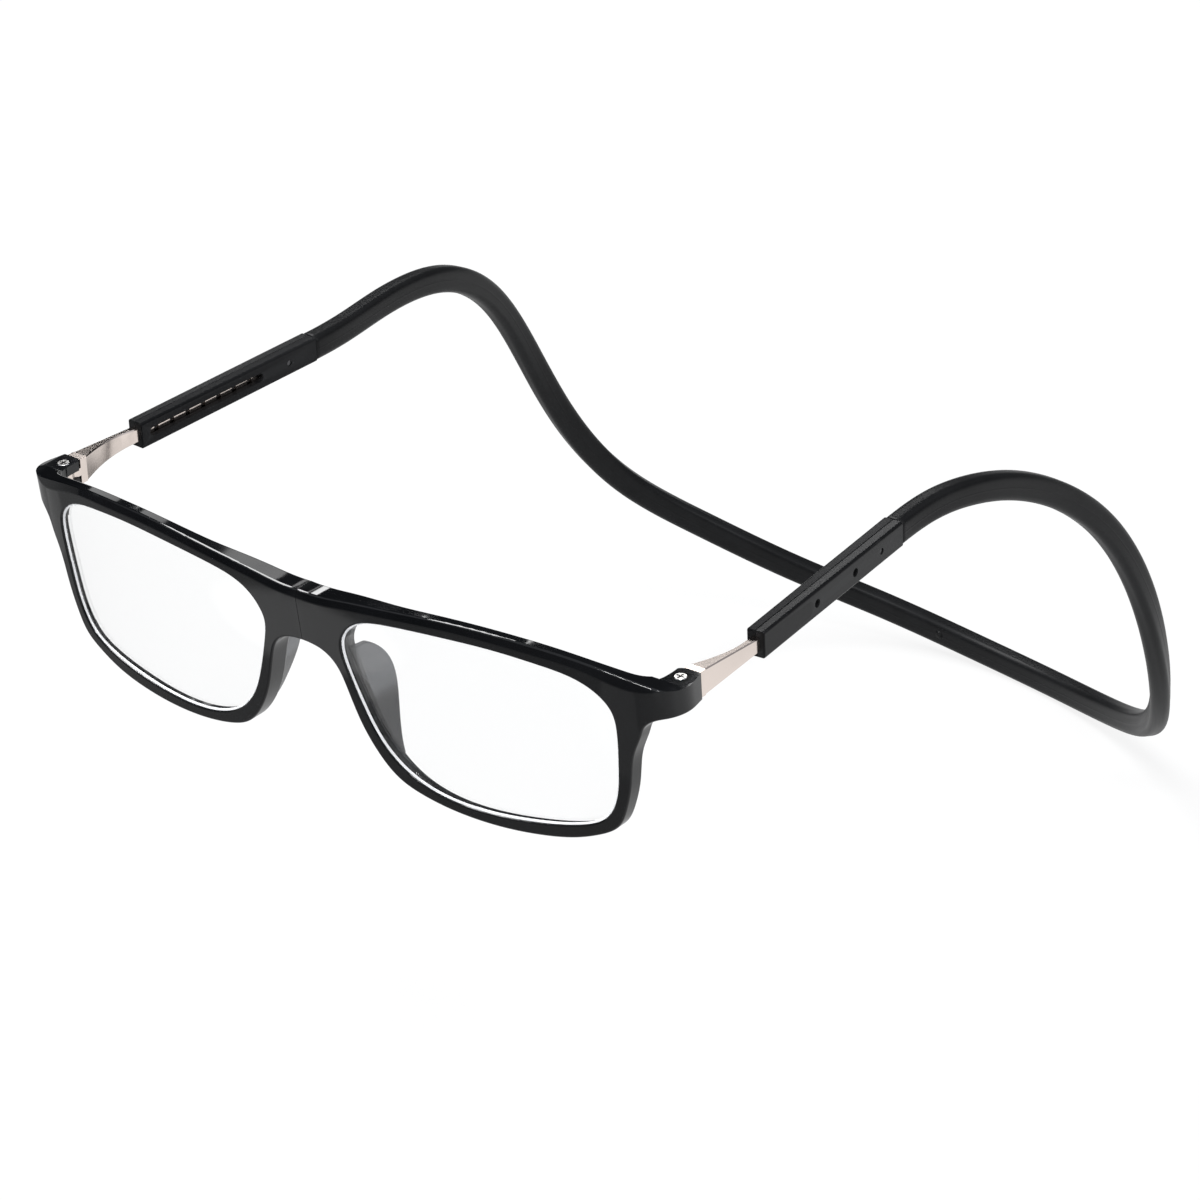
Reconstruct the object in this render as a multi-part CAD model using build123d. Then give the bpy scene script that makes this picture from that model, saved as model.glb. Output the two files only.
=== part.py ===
from build123d import *
import math
import os

# Magnetic bridge reading glasses on one continuous neck band, in millimetres.
# +X is the wearer's left, -Y is ahead of the wearer, +Z is up.
# The origin is on the closing plane of the bridge, at its upper front edge.

# Front: two full rims that meet at the middle of the bridge
front_width = 140.0
front_drop = 37.0
bridge_height = 10.1
bow_depth = 9.3
lean_angle = 7.0
rim_depth = 2.7
bridge_depth = 4.7
seam_gap = 0.05
bevel_height = 1.8
bevel_depth = 0.8
edge_round = 0.4
opening_round = 0.3

# Lens and its groove
lens_thick = 1.4
lens_bite = 0.7
lens_clear = 0.05

# Hinge
hinge_inset = 0.7
hinge_back = 7.3
screw_shank_r = 0.7
screw_head_r = 1.25
screw_head_thick = 0.8
screw_slot_width = 0.35
screw_slot_depth = 0.4
screw_clear = 0.04
tongue_thick = 1.5
tongue_r = 1.75
tongue_clear = 0.06
lug_r = 2.7
stop_gap = 0.2
endpiece_height = 5.3
endpiece_top = -2.15

# Metal temple arm
block_width = 3.1
block_height = 4.9
block_length = 1.6
neck_width = 1.75
neck_height = 2.7
arm_reach = 15.3
arm_bow = 0.6
arm_round = 0.2
strip_thick = 1.3
strip_height = 2.5
notch_count = 7
notch_depth = 0.3
notch_width = 1.1

# Telescoping sleeve of two half shells
sleeve_length = 45.0
sleeve_toe_in = 4.1
sleeve_lift = 1.0
sleeve_front_width = 3.5
sleeve_front_height = 5.2
sleeve_rear_width = 3.9
sleeve_rear_height = 4.9
sleeve_round = 0.5
mouth_round = 0.2
shell_round = 0.12
slide_clear = 0.08
channel_wall = 0.4
strip_end_clear = 1.0
arm_travel = 12.4
window_start = 2.0
window_end = 4.0
window_height = 1.7
detent_hole_r = 0.8

# Detent spring on the strip
leaf_thick = 0.25
leaf_length = 7.0
leaf_width = 1.5
leaf_end = 1.22
leaf_seat_clear = 0.04
leaf_button_r = 0.6
leaf_button_rise = 0.04

# Neck band
band_thick = 4.0
band_height = 5.3
band_round = 1.4
band_flare = 6.1
band_reach = 126.5
band_drop = 101.5
band_step = 9.0
tongue_bite = 9.6
band_tongue_thick = 1.25
band_tongue_height = 2.5
band_tongue_clear = 0.03
band_pin_r = 0.6
band_pin_back = 7.1
band_pin_inset = 0.5
pin_clear = 0.01
band_seat_gap = 0.05

# Nose pads
pad_thick = 1.5
pad_depth = 6.0
pad_flare = 1.2

# Bridge magnets
magnet_r = 1.5
magnet_length = 2.4
magnet_set_back = 0.15
magnet_clear = 0.04

# One overrun serves every cut
over = 2.0

# Derived places
half_width = front_width / 2
lean = math.tan(math.radians(lean_angle))
hinge_x = half_width - hinge_inset
hinge_y = bow_depth + hinge_back
axle_z = endpiece_top - endpiece_height / 2
block_y = hinge_y + lug_r + stop_gap
block_x = hinge_x + stop_gap
neck_y = block_y + block_length + arm_reach
sleeve_turn = math.radians(sleeve_toe_in)
sleeve_rise = math.tan(math.radians(sleeve_lift))
sleeve_axis = Vector(-math.sin(sleeve_turn), math.cos(sleeve_turn), sleeve_rise).normalized()
sleeve_out = Vector(math.cos(sleeve_turn), math.sin(sleeve_turn), 0)
mouth = Vector(block_x + arm_bow, neck_y, axle_z)
tail = mouth + sleeve_axis * sleeve_length
channel_length = sleeve_length - tongue_bite - channel_wall
strip_length = channel_length - strip_end_clear
window_length = channel_length - window_start - window_end
notch_pitch = (window_length - notch_width) / notch_count
spring_at = strip_length - slide_clear - leaf_end - leaf_length / 2
band_half_width = tail.X + band_flare

# Outline of the rim's opening, seen from the front, going round from the upper nose corner.
# Across as shares of half the front's width, down as shares of its drop.
opening_shares = [
    (0.129, -0.189), (0.171, -0.090), (0.286, -0.027), (0.443, -0.003), (0.600, 0.002),
    (0.714, -0.018), (0.797, -0.053), (0.849, -0.110), (0.879, -0.185), (0.888, -0.300),
    (0.882, -0.486), (0.867, -0.676), (0.830, -0.805), (0.757, -0.872), (0.640, -0.915),
    (0.486, -0.938), (0.364, -0.914), (0.272, -0.838), (0.207, -0.708), (0.161, -0.514),
    (0.131, -0.332),
]

# Upper edge of the front, from the seam past the endpiece
top_shares = [
    (0.0, 0.0), (0.071, 0.003), (0.143, 0.020), (0.286, 0.050), (0.429, 0.075), (0.543, 0.082),
    (0.657, 0.074), (0.771, 0.052), (0.880, 0.008), (0.957, -0.033), (1.0, -0.052), (1.05, -0.060),
]

# Lower edge, from under the endpiece round the rim to the underside of the bridge
lower_shares = [
    (1.05, -0.187), (1.033, -0.192), (1.004, -0.206), (0.986, -0.214), (0.971, -0.227),
    (0.957, -0.252), (0.946, -0.305), (0.937, -0.350), (0.926, -0.405), (0.909, -0.586),
    (0.890, -0.730), (0.862, -0.838), (0.814, -0.900), (0.743, -0.950), (0.657, -0.980),
    (0.571, -0.995), (0.486, -0.997), (0.400, -0.984), (0.314, -0.951), (0.247, -0.897),
    (0.193, -0.789), (0.146, -0.616), (0.116, -0.432), (0.095, -0.345), (0.060, -0.292),
    (0.020, -0.275),
]

# Depth of the front from its face to its back: across as shares of half the
# width, depth as shares of the step from the rim's depth to the bridge's
depth_shares = [
    (-0.10, 1.0), (0.0, 1.0), (0.10, 0.90), (0.20, 0.62), (0.29, 0.30), (0.40, 0.08),
    (0.52, 0.0), (0.70, 0.0), (0.82, 0.0),
]
bow_square_share = 0.61

# The corner and the endpiece seen from above: across from the hinge axis and
# ahead of it, as shares of the hinge's set-back, outer side then inner side
corner_shares = [
    (-0.10, 1.02), (0.137, 0.855), (0.315, 0.67), (0.411, 0.44), (0.42, 0.22), (0.37, -0.04),
    (0.315, -0.26), (0.27, -0.48),
]
inner_shares = [
    (-0.26, -0.48), (-0.26, 0.03), (-0.27, 0.22), (-0.31, 0.41), (-0.43, 0.61), (-0.63, 0.785),
    (-0.87, 0.90),
]


def bow(x):
    """How far the front's face has curved back at a place across it."""
    share = x / half_width
    return bow_depth * (bow_square_share * share**2 + (1 - bow_square_share) * share**4)


def spread(shares, across, along):
    return [(u * across, v * along) for u, v in shares]


def upright(x, z):
    return Vector(x, 0, z)


def ring_face(points, grow=0.0):
    """A closed smooth outline through points that stand off their curve by grow."""
    count = len(points)
    placed = []
    for i, (x, z) in enumerate(points):
        before = points[i - 1]
        after = points[(i + 1) % count]
        run = math.hypot(after[0] - before[0], after[1] - before[1])
        normal = (-(after[1] - before[1]) / run, (after[0] - before[0]) / run)
        placed.append(upright(x + grow * normal[0], z + grow * normal[1]))
    return Face(Wire([Edge.make_spline(placed, periodic=True)]))


def straight_through(face):
    """Stretch an upright face fore and aft through the whole front."""
    start = face.moved(Location((0, -bridge_depth - over, 0)))
    reach = 2 * bridge_depth + hinge_y + lug_r + 2 * over
    return extrude(start, amount=reach, dir=(0, 1, 0))


def leaning(face):
    """Stretch a face drawn at the datum height along the front's lean, past both its edges."""
    reach = front_drop + over
    rise = front_drop / 2
    start = face.moved(Location((0, lean * reach, -reach)))
    return extrude(start, amount=(reach + rise) * math.hypot(1, lean), dir=(0, -lean, 1))


def bowed_band(near, far):
    """A slab of the bowed front between two depths behind its face."""
    stations = [half_width * share for share, _ in depth_shares] + [half_width + 2 * over]
    ahead = [Vector(x, bow(x) + near, 0) for x in stations]
    behind = [Vector(x, bow(x) + far, 0) for x in stations]
    edges = [
        Edge.make_spline(ahead),
        Edge.make_line(ahead[-1], behind[-1]),
        Edge.make_spline(behind[::-1]),
        Edge.make_line(behind[0], ahead[0]),
    ]
    return leaning(Face(Wire(edges)))


def depth_at(x):
    """Depth of the front at a place across it, between the listed stations."""
    step = bridge_depth - rim_depth
    for (u, p), (v, q) in zip(depth_shares, depth_shares[1:]):
        if u <= x / half_width <= v:
            return rim_depth + step * (p + (q - p) * (x / half_width - u) / (v - u))
    return rim_depth + step * depth_shares[-1][1]


def front_outline():
    """The whole front half seen from ahead, from the seam to past the endpiece."""
    top = [upright(x, z) for x, z in spread(top_shares, half_width, front_drop)]
    low = [upright(x, z) for x, z in spread(lower_shares, half_width, front_drop)]
    top[0] = upright(seam_gap, top[0].Z)
    seam_foot = upright(seam_gap, top[0].Z - bridge_height)
    edges = [
        Edge.make_spline(top),
        Edge.make_line(top[-1], low[0]),
        Edge.make_spline(low + [seam_foot]),
        Edge.make_line(seam_foot, top[0]),
    ]
    return Face(Wire(edges))


def from_hinge(shares):
    """Places in plan, given from the hinge axis as shares of its set-back."""
    return [Vector(hinge_x + u * hinge_back, hinge_y - v * hinge_back, 0) for u, v in shares]


def front_plan():
    """The front seen from above: bowed face, rounded corner, endpiece, and the back."""
    face_x = [half_width * share for share, _ in depth_shares]
    ahead = [Vector(x, bow(x), 0) for x in face_x] + from_hinge(corner_shares)
    behind = [Vector(x, bow(x) + depth_at(x), 0) for x in face_x]
    behind = from_hinge(inner_shares) + behind[::-1]
    edges = [
        Edge.make_spline(ahead),
        Edge.make_line(ahead[-1], behind[0]),
        Edge.make_spline(behind),
        Edge.make_line(behind[-1], ahead[0]),
    ]
    return Face(Wire(edges))


def bevel_cutter():
    """The wide bevel along the upper front edge, cut by a smooth run of corners."""
    sections = []
    stations = spread(top_shares, half_width, front_drop)
    stations.append((stations[-1][0] + over, stations[-1][1]))
    stations.insert(0, (-over, stations[0][1]))
    for x, z in stations:
        face_y = bow(x) - lean * z
        slope = bevel_depth / bevel_height
        sections.append(Face(Wire.make_polygon([
            Vector(x, face_y - slope * over, z - bevel_height - over),
            Vector(x, face_y + bevel_depth + slope * over, z + over),
            Vector(x, face_y - bridge_depth, z + over),
            Vector(x, face_y - bridge_depth, z - bevel_height - over),
        ])))
    return loft(sections)


def endpiece_cuts():
    """What shapes the endpiece: level top and underside, square rear, rounded inner corner."""
    ahead = hinge_y - lug_r
    top = [
        Vector(hinge_x, bow_depth + rim_depth / 2, 0),
        Vector(hinge_x, ahead, endpiece_top),
        Vector(hinge_x, hinge_y + hinge_back, endpiece_top),
        Vector(hinge_x, hinge_y + hinge_back, over),
        Vector(hinge_x, bow_depth + rim_depth / 2, over),
    ]
    slab = extrude(Face(Wire.make_polygon(top)), amount=hinge_back, both=True)
    hanging = (Align.CENTER, Align.CENTER, Align.MAX)
    below = Box(3 * hinge_back, 2 * front_width, 2 * front_drop, align=hanging)
    below = Pos(half_width, 0, endpiece_top - endpiece_height) * below
    under = below & bowed_band(rim_depth, rim_depth + 2 * hinge_back)
    tall = 2 * endpiece_height + over
    rear = Box(2 * hinge_back, hinge_back, tall, align=(Align.CENTER, Align.MIN, Align.CENTER))
    rear = Pos(hinge_x, hinge_y + lug_r, axle_z) * rear
    corner = Box(hinge_back, hinge_back, tall, align=(Align.MAX, Align.MIN, Align.CENTER))
    corner = Pos(hinge_x, hinge_y, axle_z) * (corner - Cylinder(lug_r, tall))
    return slab + under + rear + corner


def magnet_place(length, set_back):
    """A plane for a magnet or its pocket, looking away from the seam."""
    start = seam_gap + set_back
    height = top_shares[0][1] * front_drop - bridge_height / 2
    middle = bridge_depth / 2 - lean * height
    return Plane(origin=(start, middle, height), x_dir=(0, 1, 0), z_dir=(1, 0, 0))


def groove_band(clear):
    """The curved slab that the lens fills, with a clearance on both faces."""
    ahead = (rim_depth - lens_thick) / 2
    return bowed_band(ahead - clear, ahead + lens_thick + clear)


def build_lens():
    points = spread(opening_shares, half_width, front_drop)
    return straight_through(ring_face(points, lens_bite - lens_clear)) & groove_band(0.0)


def hinge_slot():
    """The open slot for the metal tongue, clear to the rear and the inner side."""
    height = tongue_thick + 2 * tongue_clear
    outer_x = hinge_x + tongue_r + tongue_clear
    inner_x = hinge_x - hinge_back
    front_y = hinge_y - tongue_r - tongue_clear
    rear_y = block_y + over
    return Pos(
        (outer_x + inner_x) / 2, (front_y + rear_y) / 2, axle_z
    ) * Box(outer_x - inner_x, rear_y - front_y, height)


def screw_bore():
    """The screw's bore, with a seat for its head let into the top."""
    top = Pos(hinge_x, hinge_y, endpiece_top)
    head = Cylinder(screw_head_r + screw_clear, screw_head_thick * 2)
    shank = Cylinder(screw_shank_r + screw_clear, endpiece_height * 2)
    return top * head + top * shank


def build_screw():
    """A small cross-slot screw, its head flush with the endpiece."""
    length = endpiece_height - screw_head_thick
    head = Pos(0, 0, -screw_head_thick / 2) * Cylinder(screw_head_r, screw_head_thick)
    head = chamfer(head.edges().group_by(Axis.Z)[-1], screw_head_thick / 4)
    shank = Pos(0, 0, -screw_head_thick - length / 2) * Cylinder(screw_shank_r, length)
    screw = head + shank
    slot_z = -screw_slot_depth / 2
    for turn in (0, 90):
        slot = Rot(0, 0, turn) * Box(
            screw_head_r * 4 / 3, screw_slot_width, screw_slot_depth + screw_head_thick / 4
        )
        screw -= Pos(0, 0, slot_z) * slot
    return Pos(hinge_x, hinge_y, endpiece_top) * screw


def build_front():
    """One moulding: rim, half bridge and endpiece, with its opening and groove cut."""
    body = straight_through(front_outline()) & leaning(front_plan())
    body -= bevel_cutter()
    body = fillet([e for e in body.edges() if e.length > front_drop], edge_round)
    body -= endpiece_cuts()
    points = spread(opening_shares, half_width, front_drop)
    body -= straight_through(ring_face(points))
    body = fillet([e for e in body.edges() if e.length > front_width], opening_round)
    body -= straight_through(ring_face(points, lens_bite)) & groove_band(lens_clear)
    body -= hinge_slot()
    body -= screw_bore()
    pocket = magnet_set_back + magnet_length + magnet_clear
    place = magnet_place(pocket, -over)
    body -= place * extruded_disc(magnet_r + magnet_clear, pocket + over)
    return body


def extruded_disc(radius, length):
    return Cylinder(radius, length, align=(Align.CENTER, Align.CENTER, Align.MIN))


def build_magnet():
    place = magnet_place(magnet_length, magnet_set_back)
    disc = extruded_disc(magnet_r, magnet_length)
    return place * chamfer(disc.edges(), magnet_r / 8)


# Nose pad: the middle line of its front edge on the rim's back, as shares of
# half the front's width and of the front's drop, from its top to its foot
pad_shares = [
    (0.124, -0.27), (0.127, -0.33), (0.137, -0.44), (0.155, -0.56), (0.177, -0.67), (0.200, -0.76),
    (0.219, -0.81),
]
pad_reach_shares = [0.30, 0.72, 0.95, 0.80, 0.52, 0.27, 0.12]
pad_tip_share = 0.7


def build_nose_pad(front):
    """A thin wing with a round rear edge that stands back from the rim, seated on its back."""
    sections = []
    for (x, z), reach in zip(spread(pad_shares, half_width, front_drop), pad_reach_shares):
        seat = bow(x) - lean * z + depth_at(x) - pad_thick / 2
        back = Vector(pad_flare * reach, pad_depth * reach + pad_thick / 2, 0)
        along = back.normalized()
        side = Vector(along.Y, -along.X, 0) * (pad_thick / 2)
        root = Vector(x, seat, z)
        tip = root + back
        slim = side * pad_tip_share
        edges = [
            Edge.make_line(root - side, root + side),
            Edge.make_line(root + side, tip + slim),
            Edge.make_three_point_arc(tip + slim, tip + along * slim.length, tip - slim),
            Edge.make_line(tip - slim, root - side),
        ]
        sections.append(Face(Wire(edges)))
    return loft(sections) - front


# Metal arm: the neck's thickness behind its outer side, along it, as shares of the block's width
neck_thick_shares = [(0.85, 0.44), (0.65, 0.38), (0.45, 0.45), (0.22, 0.68)]


def arm_plane(place, direction):
    """A plane across the arm or sleeve: its x points outward and its y down."""
    out = Vector(direction.Y, -direction.X, 0)
    return Plane(origin=place, x_dir=out, z_dir=direction)


def sleeve_plane(along):
    return arm_plane(mouth + sleeve_axis * along, sleeve_axis)


def sleeve_block(width, height, start, length, aside=0.0):
    """A plain block along the sleeve's line, from start for a length."""
    block = Box(width, height, length, align=(Align.CENTER, Align.CENTER, Align.MIN))
    return sleeve_plane(start) * (Pos(aside, 0, 0) * block)


def build_neck():
    """The waisted neck: flat outside, drawn in along the inner side, its height tapering."""
    start = Vector(block_x, block_y + block_length, 0)
    half = Vector(block_width / 2, 0, 0)
    end = mouth - sleeve_axis * slide_clear
    end = Vector(end.X, end.Y, 0)
    end_half = sleeve_out * (neck_width / 2)
    outer = Edge.make_line(start + half, end + end_half)
    inner = [end - end_half]
    for along, thick in neck_thick_shares:
        on_outer = outer.position_at(along)
        inner.append(on_outer - Vector(thick * block_width, 0, 0))
    inner.append(start - half)
    plan = Face(Wire([
        outer,
        Edge.make_line(end + end_half, inner[0]),
        Edge.make_spline(inner),
        Edge.make_line(inner[-1], start + half),
    ]))
    tall = extrude(plan, amount=-2 * block_height, dir=(0, 0, 1))
    rear = end.Y + over
    drop = (block_height - neck_height) / 2 * (rear - start.Y) / (end.Y - start.Y)
    profile = Face(Wire.make_polygon([
        Vector(0, start.Y, axle_z + block_height / 2),
        Vector(0, rear, axle_z + block_height / 2 - drop),
        Vector(0, rear, axle_z - block_height / 2 + drop),
        Vector(0, start.Y, axle_z - block_height / 2),
    ]))
    neck = tall & extrude(profile, amount=front_width, dir=(1, 0, 0))
    return chamfer(neck.edges().filter_by(lambda e: e.length > arm_reach * 2 / 3), arm_round)


def build_arm():
    """Tongue, tall block, tapered neck and notched strip, in one piece of metal."""
    place = Pos(hinge_x, hinge_y, axle_z)
    tongue = Cylinder(tongue_r, tongue_thick)
    stem_length = block_y + block_length / 2 - hinge_y
    stem_width = block_width - 2 * stop_gap
    tongue += Box(stem_width, stem_length, tongue_thick, align=(Align.CENTER, Align.MIN, Align.CENTER))
    block = Box(block_width, block_length, block_height, align=(Align.CENTER, Align.MIN, Align.CENTER))
    body = place * tongue + Pos(block_x, block_y, axle_z) * block + build_neck()
    strip = sleeve_block(strip_thick, strip_height, -slide_clear, strip_length)
    for i in range(notch_count):
        at = window_start + (i + 1 / 2) * notch_pitch
        side = -strip_thick / 2
        strip -= sleeve_block(notch_depth * 2, strip_height + over, at, notch_width, side)
    strip -= leaf_block(leaf_seat_clear, over)
    return body + strip - place * Cylinder(screw_shank_r + screw_clear, block_height)


def leaf_block(clear, rise):
    """The spring's leaf, or with a clearance and a rise the seat cut for it."""
    start = spring_at - leaf_length / 2 - clear
    thick = leaf_thick + rise
    aside = strip_thick / 2 - leaf_thick + thick / 2
    return sleeve_block(thick, leaf_width + 2 * clear, start, leaf_length + 2 * clear, aside)


def build_detent_spring():
    """A leaf let into the strip, with a low button that meets the sleeve's holes."""
    middle = sleeve_plane(spring_at)
    button = Pos(strip_thick / 2, 0, 0) * (Rot(0, 90, 0) * Cylinder(leaf_button_r, leaf_button_rise * 2))
    return leaf_block(0.0, 0.0) + middle * button


# Sleeve shells


def sleeve_envelope():
    front = sleeve_plane(0.0) * Rectangle(sleeve_front_width, sleeve_front_height)
    rear = sleeve_plane(sleeve_length) * Rectangle(sleeve_rear_width, sleeve_rear_height)
    body = loft([front, rear])
    long_edges = body.edges().filter_by(lambda e: e.length > sleeve_length / 2)
    body = fillet(long_edges, sleeve_round)
    return fillet(body.faces().sort_by(Axis.Y)[0].edges(), mouth_round)


def sleeve_cavity():
    """The strip's channel from the mouth, and the socket for the band's tongue at the rear."""
    wide = strip_thick + 2 * slide_clear
    tall = strip_height + 2 * slide_clear
    channel = sleeve_block(wide, tall, -over, channel_length + over)
    socket_start = sleeve_length - tongue_bite - band_tongue_clear
    socket = sleeve_block(
        band_tongue_thick + 2 * band_tongue_clear, band_tongue_height + 2 * band_tongue_clear,
        socket_start, tongue_bite + over,
    )
    return channel + socket


def band_pin_at():
    return sleeve_plane(sleeve_length - band_pin_back)


def across_pin(radius, width, start=0.0):
    """A round pin or bore that crosses the sleeve from side to side."""
    return Pos(start, 0, 0) * (Rot(0, 90, 0) * Cylinder(radius, width))


def lies_on_parting(edge):
    """True for an edge along the plane where the two shells meet."""
    return abs((edge.center() - mouth).dot(sleeve_out)) < slide_clear / 2


def build_sleeve(outer):
    """One half shell: the outer one has the detent holes, the inner one the long window."""
    side = 1 if outer else -1
    half = sleeve_block(
        sleeve_front_width, sleeve_front_height + over, -over, sleeve_length + 2 * over,
        side * sleeve_front_width / 2,
    )
    shell = sleeve_envelope() & half
    parting = shell.edges().filter_by(lambda e: e.length > sleeve_length * 2 / 3 and lies_on_parting(e))
    shell = fillet(parting, shell_round) - sleeve_cavity()
    if outer:
        for at in (spring_at - arm_travel, spring_at):
            hole = across_pin(detent_hole_r, sleeve_front_width, sleeve_front_width / 2)
            shell -= sleeve_plane(at) * hole
    else:
        slot = SlotOverall(window_length, window_height)
        face = Plane(
            origin=sleeve_plane(window_start + window_length / 2).origin,
            x_dir=sleeve_axis, z_dir=sleeve_out * -1,
        )
        shell -= extrude(face * slot, amount=sleeve_front_width)
    width = sleeve_rear_width - band_pin_inset
    shell -= band_pin_at() * across_pin(band_pin_r, width + over)
    return shell


def build_band_pin():
    pin = across_pin(band_pin_r, sleeve_rear_width - band_pin_inset)
    return band_pin_at() * pin


# Neck band. Its route from each sleeve round to the middle of the back: across as shares of
# its half width, back of the sleeve as shares of its reach, and down as shares of its drop,
# once for the wearer's left and once for the right, which hangs a little higher.
band_plan_shares = [
    (0.920, 0.088), (0.934, 0.172), (0.957, 0.333), (0.985, 0.467), (0.997, 0.566),
    (0.973, 0.645), (0.897, 0.731), (0.753, 0.831), (0.544, 0.918), (0.287, 0.978),
]
band_left_shares = [-0.005, 0.007, 0.085, 0.217, 0.394, 0.585, 0.763, 0.902, 0.976, 1.005]
band_right_shares = [0.0, -0.001, 0.026, 0.130, 0.305, 0.493, 0.654, 0.779, 0.882, 0.952]
band_middle_share = 0.997
flex_start_share = 0.215
flex_end_share = 0.285


def band_route():
    """The band's middle line, from the left sleeve round the neck to the right sleeve."""
    left = []
    right = []
    for (across, back), down_l, down_r in zip(
        band_plan_shares, band_left_shares, band_right_shares
    ):
        x = across * band_half_width
        y = tail.Y + back * band_reach
        left.append(Vector(x, y, tail.Z - down_l * band_drop))
        right.append(Vector(-x, y, tail.Z - down_r * band_drop))
    middle = Vector(0, tail.Y + band_reach, tail.Z - band_middle_share * band_drop)
    start = tail + sleeve_axis * band_seat_gap
    end = Vector(-start.X, start.Y, start.Z)
    end_axis = Vector(sleeve_axis.X, -sleeve_axis.Y, -sleeve_axis.Z)
    points = [start] + left + [middle] + right[::-1] + [end]
    runs = [0.0]
    for before, after in zip(points, points[1:]):
        runs.append(runs[-1] + (after - before).length)
    return Edge.make_spline(points, tangents=[sleeve_axis, end_axis], parameters=runs, scale=False)


def band_section(route, share):
    """The band's cross-section, its wide face turned outward all the way round."""
    along = route.tangent_at(share)
    across = along.cross(Vector(0, 0, 1)).normalized()
    place = Plane(origin=route.position_at(share), x_dir=across, z_dir=along)
    return place * RectangleRounded(band_thick, band_height, band_round)


def build_band_piece(route, start, end):
    steps = max(2, round(route.length * (end - start) / band_step))
    shares = [start + (end - start) * i / steps for i in range(steps + 1)]
    return loft([band_section(route, share) for share in shares])


def build_band_tongue():
    """The tongue moulded on the band's end, bored for its pin."""
    start = sleeve_length - tongue_bite
    root = band_thick
    tongue = sleeve_block(band_tongue_thick, band_tongue_height, start, tongue_bite + root)
    return tongue - band_pin_at() * across_pin(band_pin_r + pin_clear, sleeve_rear_width)


def write(shape, name):
    export_step(shape, "parts/" + name + ".step")


def main():
    os.makedirs("parts", exist_ok=True)
    front = build_front()
    one_side = {
        "front_half": front,
        "lens": build_lens(),
        "nose_pad": build_nose_pad(front),
        "bridge_magnet": build_magnet(),
        "hinge_screw": build_screw(),
        "temple_arm": build_arm(),
        "detent_spring": build_detent_spring(),
        "sleeve_outer": build_sleeve(True),
        "sleeve_inner": build_sleeve(False),
        "band_pin": build_band_pin(),
    }
    for name, shape in one_side.items():
        write(shape, name + "_left")
        write(mirror(shape, about=Plane.YZ), name + "_right")

    route = band_route()
    tongue = build_band_tongue()
    left = build_band_piece(route, 0.0, flex_start_share) + tongue
    right = build_band_piece(route, 1 - flex_start_share, 1.0) + mirror(tongue, about=Plane.YZ)
    write(left, "band_side_left")
    write(right, "band_side_right")
    write(build_band_piece(route, flex_start_share, flex_end_share), "band_bend_left")
    write(build_band_piece(route, 1 - flex_end_share, 1 - flex_start_share), "band_bend_right")
    write(build_band_piece(route, flex_end_share, 1 - flex_end_share), "band_back")


main()
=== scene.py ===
import math

import bmesh
import bpy
import numpy as np
from mathutils import Matrix, Vector


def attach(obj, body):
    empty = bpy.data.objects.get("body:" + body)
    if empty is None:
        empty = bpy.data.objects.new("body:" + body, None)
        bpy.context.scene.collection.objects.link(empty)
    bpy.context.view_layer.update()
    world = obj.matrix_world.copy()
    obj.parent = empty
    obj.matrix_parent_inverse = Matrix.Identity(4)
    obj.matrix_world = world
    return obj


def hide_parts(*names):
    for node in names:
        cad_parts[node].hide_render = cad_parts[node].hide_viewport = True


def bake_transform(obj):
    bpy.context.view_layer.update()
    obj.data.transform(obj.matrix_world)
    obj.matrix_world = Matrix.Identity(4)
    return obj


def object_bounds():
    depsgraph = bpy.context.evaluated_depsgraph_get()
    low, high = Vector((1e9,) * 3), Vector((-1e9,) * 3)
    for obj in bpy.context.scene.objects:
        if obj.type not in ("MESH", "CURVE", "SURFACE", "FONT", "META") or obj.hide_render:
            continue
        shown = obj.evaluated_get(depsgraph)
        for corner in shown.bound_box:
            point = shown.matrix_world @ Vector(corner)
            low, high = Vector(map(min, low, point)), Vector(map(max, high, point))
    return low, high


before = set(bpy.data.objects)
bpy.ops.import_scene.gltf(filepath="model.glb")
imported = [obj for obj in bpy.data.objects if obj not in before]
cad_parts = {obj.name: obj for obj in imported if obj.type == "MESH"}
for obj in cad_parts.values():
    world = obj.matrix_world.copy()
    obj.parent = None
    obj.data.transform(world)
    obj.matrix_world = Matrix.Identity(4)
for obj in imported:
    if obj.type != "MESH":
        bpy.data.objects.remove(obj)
cad_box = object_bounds()
MM = 0.001

# Camera, placed where the photograph was taken from
VIEW_AZIMUTH = 38.659
VIEW_ELEVATION = 28.240
VIEW_ROLL = -2.0065
LENS_LENGTH = 147.16
SENSOR_WIDTH = 36.0
CAMERA_PLACE = (0.49846, -0.54030, 0.39006)
CLIP_START = 0.01

# The band's route: the same shares as in the part's source
SLEEVE_TAIL = Vector((66.883, 81.278, -4.015))
SLEEVE_TOE_IN = 4.1
SLEEVE_LIFT = 1.0
BAND_FLARE = 6.1
BAND_REACH = 126.5
BAND_DROP = 101.5
BAND_SEAT_GAP = 0.05
BAND_PLAN_SHARES = [
    (0.920, 0.088), (0.934, 0.172), (0.957, 0.333), (0.985, 0.467), (0.997, 0.566),
    (0.973, 0.645), (0.897, 0.731), (0.753, 0.831), (0.544, 0.918), (0.287, 0.978),
]
BAND_LEFT_SHARES = [-0.005, 0.007, 0.085, 0.217, 0.394, 0.585, 0.763, 0.902, 0.976, 1.005]
BAND_RIGHT_SHARES = [0.0, -0.001, 0.026, 0.130, 0.305, 0.493, 0.654, 0.779, 0.882, 0.952]
BAND_MIDDLE_SHARE = 0.997

# The band's section, a little inside its solid so that the parting line stays within it
BAND_THICK = 3.9
BAND_HEIGHT = 5.24
BAND_ROUND = 1.35
LINE_RISE = 0.04
LINE_HALF = 0.12

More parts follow.
